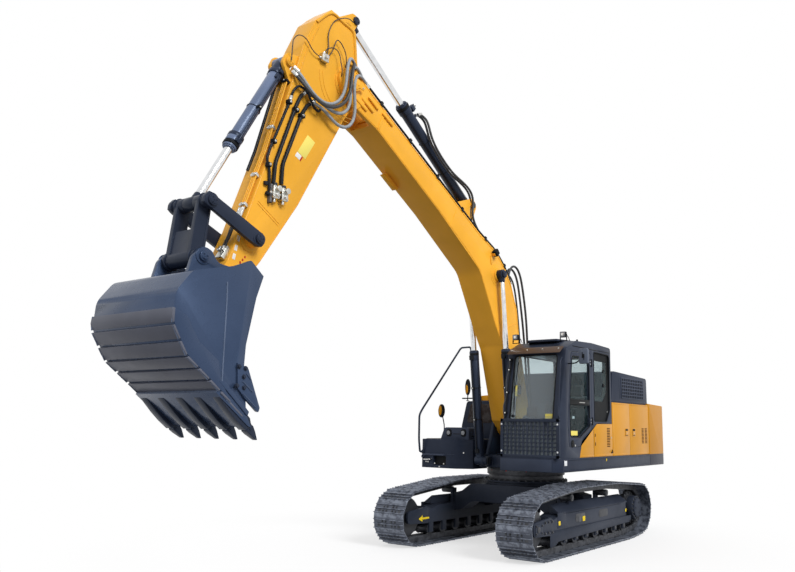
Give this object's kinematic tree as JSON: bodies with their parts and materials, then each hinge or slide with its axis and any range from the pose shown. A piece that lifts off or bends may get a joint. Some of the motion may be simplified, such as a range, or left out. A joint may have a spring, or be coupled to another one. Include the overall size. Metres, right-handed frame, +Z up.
{
  "type": "crawler excavator",
  "caption": "Crawler excavator with a slewing house and cab, a bent boom, an arm and a toothed bucket on cylinder linkages.",
  "frame": {"origin": "on the ground under the middle of the whole machine's box, 2.17 m ahead of the slew axis", "axes": "+X forward along the tracks and the boom, +Y to the machine's left, +Z up (ISO 8855 vehicle axes)"},
  "size_m": [11.1038, 3.33, 7.3717],
  "materials": {
    "amber_paint": "satin amber yellow enamel",
    "navy_paint": "satin dark navy enamel",
    "slate_paint": "satin blue-grey enamel",
    "dark_iron": "dark worn steel",
    "polished_rod": "hard chrome, polished",
    "clear_glass": "clear safety glass, slight green tint",
    "black_rubber": "matt black rubber and plastic",
    "seat_cloth": "black woven seat cloth"
  },
  "bodies": {
    "undercarriage": {"carbody": "navy_paint", "slew_ring": "dark_iron", "track_frame_left": "navy_paint", "idler_left": "dark_iron", "sprocket_left": "dark_iron", "track_left": "dark_iron", "track_frame_right": "navy_paint", "idler_right": "dark_iron", "sprocket_right": "dark_iron", "track_right": "dark_iron"},
    "house": {"slewing_frame": "navy_paint", "counterweight": "amber_paint", "power_block": "dark_iron", "machinery_shell": "navy_paint", "hood": "navy_paint", "right_cover": "amber_paint", "left_step_panel": "amber_paint", "tank": "navy_paint", "toolbox": "navy_paint", "right_handrail": "dark_iron", "mirror_left": "black_rubber", "mirror_right": "black_rubber", "cab_shell": "slate_paint", "windscreen": "clear_glass", "cab_right_glass": "clear_glass", "cab_side_glass": "clear_glass", "cab_rear_glass": "clear_glass", "cab_roof_glass": "clear_glass", "lower_guard": "slate_paint", "seat": "seat_cloth", "console": "black_rubber"},
    "cab_door": {"cab_door": "slate_paint", "door_glass": "clear_glass"},
    "left_front_door": {"left_front_door": "amber_paint"},
    "left_middle_door": {"left_middle_door": "amber_paint"},
    "left_rear_door": {"left_rear_door": "amber_paint"},
    "right_front_door": {"right_front_door": "amber_paint"},
    "right_rear_door": {"right_rear_door": "amber_paint"},
    "toolbox_lid": {"toolbox_lid": "navy_paint"},
    "boom": {"boom": "amber_paint"},
    "boom_cylinder_left": {"boom_cylinder_left": "navy_paint"},
    "boom_rod_left": {"boom_rod_left": "polished_rod"},
    "boom_cylinder_right": {"boom_cylinder_right": "navy_paint"},
    "boom_rod_right": {"boom_rod_right": "polished_rod"},
    "arm_cylinder": {"arm_cylinder": "navy_paint"},
    "arm_rod": {"arm_rod": "polished_rod"},
    "arm": {"arm": "amber_paint"},
    "bucket_cylinder": {"bucket_cylinder": "slate_paint"},
    "bucket_rod": {"bucket_rod": "polished_rod"},
    "idler_links": {"idler_link_left": "slate_paint", "idler_link_right": "slate_paint"},
    "tipping_link": {"tipping_link": "slate_paint"},
    "bucket": {"bucket": "slate_paint"}
  },
  "joints": [
    {"name": "swing", "type": "hinge", "parent": "undercarriage", "child": "house", "pos_m": [-2.17186, -0.2, 1.1], "axis": [0, 0, 1], "continuous": true},
    {"name": "boom_lift", "type": "hinge", "parent": "house", "child": "boom", "pos_m": [-1.74186, -0.2, 1.9], "axis": [0, -1, 0], "range_deg": [-80, 20]},
    {"name": "arm_reach", "type": "hinge", "parent": "boom", "child": "arm", "pos_m": [2.82841, -0.2, 6.27967], "axis": [0, -1, 0], "range_deg": [-38, 72]},
    {"name": "bucket_dump", "type": "hinge", "parent": "arm", "child": "bucket", "pos_m": [4.54893, -0.2, 3.34945], "axis": [0, -1, 0], "range_deg": [-85, 50]},
    {"name": "boom_cylinder_left_swing", "type": "hinge", "parent": "house", "child": "boom_cylinder_left", "pos_m": [-1.19986, 0.112, 1.33], "axis": [0, -1, 0], "range_deg": [-82, 22]},
    {"name": "boom_rod_left_stroke", "type": "slide", "parent": "boom_cylinder_left", "child": "boom_rod_left", "axis": [0.1276, 0, 0.9918], "range_m": [-1, 0.26]},
    {"name": "boom_cylinder_right_swing", "type": "hinge", "parent": "house", "child": "boom_cylinder_right", "pos_m": [-1.19986, -0.512, 1.33], "axis": [0, -1, 0], "range_deg": [-82, 22]},
    {"name": "boom_rod_right_stroke", "type": "slide", "parent": "boom_cylinder_right", "child": "boom_rod_right", "axis": [0.1276, 0, 0.9918], "range_m": [-1, 0.26]},
    {"name": "arm_cylinder_swing", "type": "hinge", "parent": "boom", "child": "arm_cylinder", "pos_m": [-0.20029, -0.2, 5.40775], "axis": [0, -1, 0], "range_deg": [-3, 4]},
    {"name": "arm_rod_stroke", "type": "slide", "parent": "arm_cylinder", "child": "arm_rod", "axis": [0.8401, 0, 0.5425], "range_m": [-1.14, 0.61]},
    {"name": "bucket_cylinder_swing", "type": "hinge", "parent": "arm", "child": "bucket_cylinder", "pos_m": [3.84776, -0.2, 6.19865], "axis": [0, -1, 0], "range_deg": [-5, 4]},
    {"name": "bucket_rod_stroke", "type": "slide", "parent": "bucket_cylinder", "child": "bucket_rod", "axis": [0.47, 0, -0.8827], "range_m": [-0.35, 0.58]},
    {"name": "idler_links_swing", "type": "hinge", "parent": "arm", "child": "idler_links", "pos_m": [4.28838, -0.2, 3.87021], "axis": [0, -1, 0], "range_deg": [-54, 32]},
    {"name": "tipping_link_swing", "type": "hinge", "parent": "bucket", "child": "tipping_link", "pos_m": [4.9985, -0.2, 3.53926], "axis": [0, -1, 0], "range_deg": [-50, 82]},
    {"name": "cab_door_hinge", "type": "hinge", "parent": "house", "child": "cab_door", "pos_m": [-1.80186, 1.2443, 1.7], "axis": [0, 0, 1], "range_deg": [0, 95]},
    {"name": "left_front_door_hinge", "type": "hinge", "parent": "house", "child": "left_front_door", "pos_m": [-1.87986, 1.233, 1.7], "axis": [0, 0, 1], "range_deg": [-100, 0]},
    {"name": "left_middle_door_hinge", "type": "hinge", "parent": "house", "child": "left_middle_door", "pos_m": [-2.61886, 1.233, 1.9], "axis": [0, 0, -1], "range_deg": [0, 100]},
    {"name": "left_rear_door_hinge", "type": "hinge", "parent": "house", "child": "left_rear_door", "pos_m": [-4.29686, 1.233, 1.9], "axis": [0, 0, 1], "range_deg": [0, 100]},
    {"name": "right_front_door_hinge", "type": "hinge", "parent": "house", "child": "right_front_door", "pos_m": [-2.62686, -1.633, 1.9], "axis": [0, 0, 1], "range_deg": [0, 100]},
    {"name": "right_rear_door_hinge", "type": "hinge", "parent": "house", "child": "right_rear_door", "pos_m": [-4.29686, -1.633, 1.9], "axis": [0, 0, -1], "range_deg": [0, 100]},
    {"name": "toolbox_lid_hinge", "type": "hinge", "parent": "house", "child": "toolbox_lid", "pos_m": [-1.63686, -1.038, 1.6593], "axis": [0, -1, 0], "range_deg": [0, 75]}
  ],
  "couplings": [
    {"joint": "boom_cylinder_left_swing", "follows": "boom_lift", "ratio": 0.99},
    {"joint": "boom_rod_left_stroke", "follows": "boom_lift", "m_per_rad": 0.7},
    {"joint": "boom_cylinder_right_swing", "follows": "boom_lift", "ratio": 0.99},
    {"joint": "boom_rod_right_stroke", "follows": "boom_lift", "m_per_rad": 0.7},
    {"joint": "arm_cylinder_swing", "follows": "arm_reach", "ratio": 0.04},
    {"joint": "arm_rod_stroke", "follows": "arm_reach", "m_per_rad": -0.89},
    {"joint": "bucket_cylinder_swing", "follows": "bucket_dump", "ratio": 0.05},
    {"joint": "bucket_rod_stroke", "follows": "bucket_dump", "m_per_rad": -0.385},
    {"joint": "idler_links_swing", "follows": "bucket_dump", "ratio": 0.61},
    {"joint": "tipping_link_swing", "follows": "bucket_dump", "ratio": -0.9}
  ]
}
